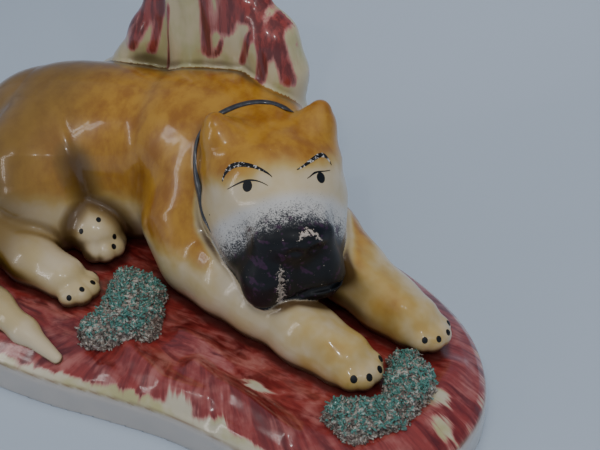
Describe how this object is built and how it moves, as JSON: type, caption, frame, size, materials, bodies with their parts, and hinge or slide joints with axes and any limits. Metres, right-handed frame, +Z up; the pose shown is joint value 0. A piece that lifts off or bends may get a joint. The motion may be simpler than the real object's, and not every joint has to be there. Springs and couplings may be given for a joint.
{
  "type": "figurine",
  "caption": "Glazed pottery figure of a mastiff lying on a mounded plinth, with a hollow tree trunk behind it that is open at the top to hold spills.",
  "frame": {"origin": "middle of the plinth's footprint, on the surface it stands on", "axes": "+X along the plinth towards the dog's front paws, +Y towards the trunk at the back, +Z up"},
  "size_m": [0.292, 0.168, 0.2],
  "materials": {
    "plinth_glaze": "glossy maroon glaze over cream, brushed",
    "bare_clay": "wiped, thinly glazed earthenware",
    "ochre_glaze": "glossy ochre glaze shading to cream",
    "head_glaze": "glossy cream and ochre glaze with worn black enamel",
    "collar_enamel": "glossy black enamel",
    "leg_glaze": "glossy cream glaze",
    "trunk_glaze": "glossy cream glaze with maroon streaks",
    "moss_glaze": "thin glaze, teal tips on cream strands"
  },
  "bodies": {
    "root": {"plinth_shell": "plinth_glaze", "plinth_floor": "bare_clay", "body_near_half": "ochre_glaze", "body_far_half": "ochre_glaze", "head": "head_glaze", "ear_near": "ochre_glaze", "ear_far": "ochre_glaze", "collar": "collar_enamel", "foreleg_near": "leg_glaze", "foreleg_far": "leg_glaze", "hind_leg_near": "leg_glaze", "hind_paw_far": "leg_glaze", "tail": "leg_glaze", "trunk_front_half": "trunk_glaze", "trunk_back_half": "trunk_glaze", "moss_clump_hind": "moss_glaze", "moss_clump_front": "moss_glaze", "moss_clump_paws": "moss_glaze"}
  },
  "joints": []
}
